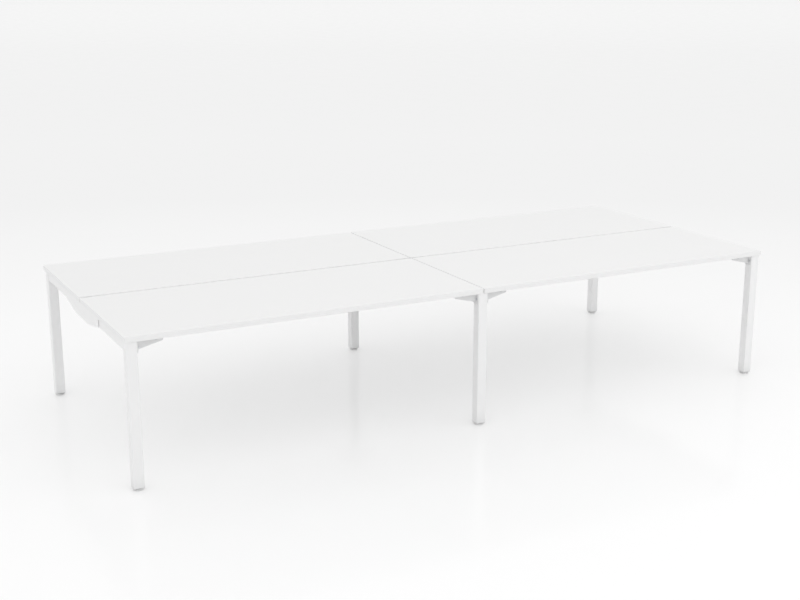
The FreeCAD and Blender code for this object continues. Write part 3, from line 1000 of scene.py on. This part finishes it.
@dataclass
class LevellingFeet(SubAssembly):
    """Pads, threaded studs and leg plugs of the six feet."""

    pad_rounding: float = 0.8 * MM
    pad_round_steps: int = 3
    plug_rounding: float = 0.5 * MM
    collar_rounding: float = 0.5 * MM
    stud_radius: float = 5.0 * MM
    stud_margin: float = 0.1 * MM
    thread_pitch: float = 1.5 * MM
    thread_ridge: float = 0.62 * MM
    thread_lead: float = 0.8 * MM
    ridge_sides: int = 4
    steps_to_a_turn: int = 24

    def build(self) -> Iterator[str]:
        """Makes the three pieces of each foot.

        Yields:
            Each piece's name.
        """
        first = f"{Side.FRONT.value}_{End.LEFT.value}"
        pattern = self.threaded_stud(first)
        for side in Side:
            for end in End:
                place = f"{side.value}_{end.value}"
                plug = Workbench.copy_node(self.node(f"leg_plug_{place}"), f"moulded_plug_{place}")
                Workbench.soften(plug, self.plug_rounding)
                yield self.fit(plug, Slot.PLUG, "desk", f"leg_plug_{place}")
                pad = Workbench.copy_node(self.node(f"foot_pad_{place}"), f"moulded_pad_{place}")
                Workbench.soften(pad, self.pad_rounding, self.pad_round_steps)
                yield self.fit(pad, Slot.PAD, f"pad_{place}", f"foot_pad_{place}")
                stud = bpy.data.objects.new(f"threaded_stud_{place}", pattern.data.copy())
                stud.data.transform(Matrix.Translation(self.axis(place) - self.axis(first)))
                bpy.context.scene.collection.objects.link(stud)
                yield self.fit(stud, Slot.ZINC, f"stud_{place}", f"foot_stud_{place}")
        bpy.data.objects.remove(pattern)

    def axis(self, place: str) -> Vector:
        """Where a foot's axis meets the floor."""
        low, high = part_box(f"foot_stud_{place}")
        return Vector((0.5 * (low.x + high.x), 0.5 * (low.y + high.y), 0.0))

    def threaded_stud(self, place: str) -> bpy.types.Object:
        """Models one stud: its collar and foot as they are, its shank with a real thread.

        Args:
            place: Which foot it is modelled at.

        Returns:
            The stud.
        """
        axis = self.axis(place)
        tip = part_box(f"foot_stud_{place}")[1].z
        stud = Workbench.copy_node(self.node(f"foot_stud_{place}"), "stud_pattern")

        def in_shank(vertex: bpy.types.MeshVertex) -> bool:
            """Whether a vertex is as near to the axis as the shank's are."""
            return (vertex.co - axis).xy.length < self.stud_radius + self.stud_margin

        collar_top = max(vertex.co.z for vertex in stud.data.vertices if not in_shank(vertex))
        shank_start = collar_top - self.stud_margin
        core = self.stud_radius - self.thread_ridge
        slimmer = (core / self.stud_radius, core / self.stud_radius, 1.0)
        Workbench.pick_vertices(stud, lambda vertex: in_shank(vertex) and vertex.co.z > shank_start)
        with Workbench.editing(stud):
            bpy.ops.transform.resize(value=slimmer, center_override=axis)
        Workbench.soften(stud, self.collar_rounding)
        ridge = self.thread(core, tip - collar_top)
        ridge.location = axis + Vector((0.0, 0.0, collar_top + self.thread_lead))
        Workbench.settle(ridge)
        Workbench.take(stud, ridge)
        bpy.ops.object.join()
        return stud

    def thread(self, core: float, length: float) -> bpy.types.Object:
        """Winds the ridge of the thread about the upright axis.

        Args:
            core: The radius that the ridge stands on.
            length: The shank's length.

        Returns:
            The ridge, closed at both ends, starting at the floor.
        """
        bpy.ops.object.select_all(action="DESELECT")
        bpy.ops.mesh.primitive_circle_add(
            vertices=self.ridge_sides,
            radius=self.thread_ridge,
            fill_type="NOTHING",
            location=(core, 0.0, 0.0),
            rotation=(QUARTER_TURN, 0.0, 0.0),
        )
        ridge = bpy.context.object
        Workbench.settle(ridge)
        settings = {
            "axis": "Z",
            "angle": math.tau,
            "screw_offset": self.thread_pitch,
            "iterations": int(length / self.thread_pitch) - 1,
            "steps": self.steps_to_a_turn,
            "render_steps": self.steps_to_a_turn,
        }
        Workbench.apply(ridge, "SCREW", settings)
        with Workbench.editing(ridge):
            bpy.ops.mesh.select_all(action="SELECT")
            bpy.ops.mesh.fill_holes(sides=self.ridge_sides)
        Workbench.point_outwards(ridge)
        return ridge


@dataclass
class Fasteners(SubAssembly):
    """Screws and bolts under the tops."""

    head_rounding: dict[FastenerKind, float] = field(
        default_factory=lambda: {
            FastenerKind.TOP_SCREWS: 0.8 * MM,
            FastenerKind.GUSSET_BOLTS: 0.5 * MM,
            FastenerKind.BEAM_BOLTS: 0.6 * MM,
            FastenerKind.BRIDGE_BOLTS: 0.6 * MM,
        }
    )
    recess_width: float = 5.6 * MM
    recess_slot: float = 1.3 * MM
    recess_depth: float = 2.0 * MM
    recess_mouth: float = 0.5 * MM
    recess_floor_share: float = 0.6

    def build(self) -> Iterator[str]:
        """Breaks the edges of each group's heads and cuts the screws' recesses.

        Yields:
            Each group's name.
        """
        for kind in FastenerKind:
            group = Workbench.copy_node(self.node(kind.value), f"plated_{kind.value}")
            Workbench.soften(group, self.head_rounding[kind])
            if kind is FastenerKind.TOP_SCREWS:
                self.cut_recesses(group)
            yield self.fit(group, Slot.ZINC, "desk", kind.value)

    def cut_recesses(self, group: bpy.types.Object) -> None:
        """Cuts a cross recess into the head of each screw, from below.

        Args:
            group: The screws, which stay one piece.
        """
        Workbench.take(group)
        bpy.ops.mesh.separate(type="LOOSE")
        others = [piece for piece in bpy.context.selected_objects if piece is not group]
        cutter = self.recess_cutter()
        cut = {"object": cutter, "operation": "DIFFERENCE", "solver": "EXACT"}
        for screw in (group, *others):
            corners = [Vector(corner) for corner in screw.bound_box]
            middle = sum(corners, Vector()) / len(corners)
            cutter.location = (middle.x, middle.y, min(corner.z for corner in corners))
            Workbench.apply(screw, "BOOLEAN", cut)
        bpy.data.objects.remove(cutter)
        Workbench.take(group, *others)
        bpy.ops.object.join()
        Workbench.smooth(group)

    def recess_cutter(self) -> bpy.types.Object:
        """Models the cross that a screw's recess is cut with, with the head's underside at the origin.

        Returns:
            The cutter.
        """
        height = self.recess_depth + self.recess_mouth
        bpy.ops.object.select_all(action="DESELECT")
        bpy.ops.mesh.primitive_cube_add(size=1.0, location=(0.0, 0.0, 0.5 * height - self.recess_mouth))
        cutter = bpy.context.object
        cutter.scale = (self.recess_slot, self.recess_slot, height)
        Workbench.settle(cutter)
        arm = 0.5 * (self.recess_width - self.recess_slot)
        Workbench.pick_faces(cutter, lambda face: round(face.normal.z) == 0)
        with Workbench.editing(cutter):
            bpy.ops.mesh.extrude_faces_move(TRANSFORM_OT_shrink_fatten={"value": arm})
        taper = (self.recess_floor_share, self.recess_floor_share, 1.0)
        Workbench.pick_vertices(cutter, lambda vertex: vertex.co.z > 0.5 * self.recess_depth)
        with Workbench.editing(cutter):
            bpy.ops.transform.resize(value=taper, center_override=(0.0, 0.0, self.recess_depth))
        Workbench.point_outwards(cutter)
        return cutter


@dataclass
class Studio:
    """Floor, soft light and the camera at the photograph's place."""

    floor_size: float = 240.0
    floor_drop: float = 0.3 * MM
    floor_roughness: float = 0.10
    sky_level: float = 0.97
    sky_from_left: float = 0.08
    sky_from_front: float = 0.06
    backdrop: Colour = (0.88, 0.88, 0.88)
    softbox_place: Triple = (2.2, -3.6, 4.6)
    softbox_size: float = 5.0
    softbox_power: float = 25.0
    camera_place: Triple = (-3.1853, -5.8944, 2.2691)
    camera_yaw: float = 0.4866
    camera_pitch: float = 0.2612
    focal_pixels: float = 1267.2
    image_width: int = 800
    sensor_width_mm: float = 36.0

    def build(self) -> Iterator[str]:
        """Sets the studio up.

        Yields:
            The name of each thing that stands in it.
        """
        scene = bpy.context.scene
        scene.view_settings.view_transform = "Standard"
        yield self.floor()
        yield self.sky(scene)
        yield self.softbox(scene)
        yield self.camera(scene)

    def floor(self) -> str:
        """Lays the floor just under the pads.

        Returns:
            The floor's name.
        """
        bpy.ops.object.select_all(action="DESELECT")
        bpy.ops.mesh.primitive_plane_add(size=self.floor_size, location=(0.0, 0.0, -self.floor_drop))
        floor = bpy.context.object
        floor.name = "studio_floor"
        finish = StudioFloor("studio_floor", PURE_WHITE, self.floor_roughness)
        floor.data.materials.append(finish.material())
        return floor.name

    def sky(self, scene: bpy.types.Scene) -> str:
        """Makes the soft light all round, a little stronger from the front and the left.

        Args:
            scene: The scene that gets it.

        Returns:
            The world's name.
        """
        world = bpy.data.worlds.new("studio_light")
        world.use_nodes = True
        scene.world = world
        paint = Paint(world.node_tree)
        parts = paint.node("ShaderNodeSeparateXYZ", inputs={0: paint.place("Generated")})
        level = self.sky_level - self.sky_from_left * paint.out(parts, "X")
        level = level - self.sky_from_front * paint.out(parts, "Y")
        light = {"Color": (*PURE_WHITE, OPAQUE), "Strength": level}
        wall = {"Color": (*self.backdrop, OPAQUE), "Strength": 1.0}
        lit, seen = (paint.node("ShaderNodeBackground", inputs=inputs) for inputs in (light, wall))
        paint.node("ShaderNodeOutputWorld", inputs={"Surface": paint.mixed(paint.shown(), lit, seen)})
        return world.name

    def softbox(self, scene: bpy.types.Scene) -> str:
        """Hangs a large softbox over the front, aimed at the desk.

        Args:
            scene: The scene that gets it.

        Returns:
            The softbox's name.
        """
        lamp = bpy.data.lights.new("overhead_softbox", "AREA")
        lamp.size = self.softbox_size
        lamp.energy = self.softbox_power
        holder = bpy.data.objects.new("overhead_softbox", lamp)
        holder.location = self.softbox_place
        holder.rotation_euler = (-Vector(self.softbox_place)).to_track_quat("-Z", "Y").to_euler()
        scene.collection.objects.link(holder)
        return holder.name

    def camera(self, scene: bpy.types.Scene) -> str:
        """Sets the camera up at the photograph's viewing angle.

        Args:
            scene: The scene that it looks at.

        Returns:
            The camera's name.
        """
        lens = bpy.data.cameras.new("photo_camera")
        lens.sensor_width = self.sensor_width_mm
        lens.lens = self.focal_pixels * self.sensor_width_mm / self.image_width
        lens.clip_end = self.floor_size
        holder = bpy.data.objects.new("photo_camera", lens)
        holder.location = self.camera_place
        holder.rotation_euler = (QUARTER_TURN - self.camera_pitch, 0.0, -self.camera_yaw)
        scene.collection.objects.link(holder)
        scene.camera = holder
        return holder.name


def main() -> None:
    """Loads the frame, builds every sub-assembly in order and sets the studio up."""
    logging.basicConfig(level=logging.INFO, format="%(name)s: %(message)s", stream=sys.stdout)
    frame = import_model()
    finishes = FinishBook()
    for kind in (Worktops, LegFrames, Gussets, Beams, LevellingFeet, Fasteners):
        for name in kind(frame, finishes).build():
            LOG.info("%s: %s", kind.__name__, name)
    for name in Studio().build():
        LOG.info("Studio: %s", name)


if __name__ == "__main__":
    main()
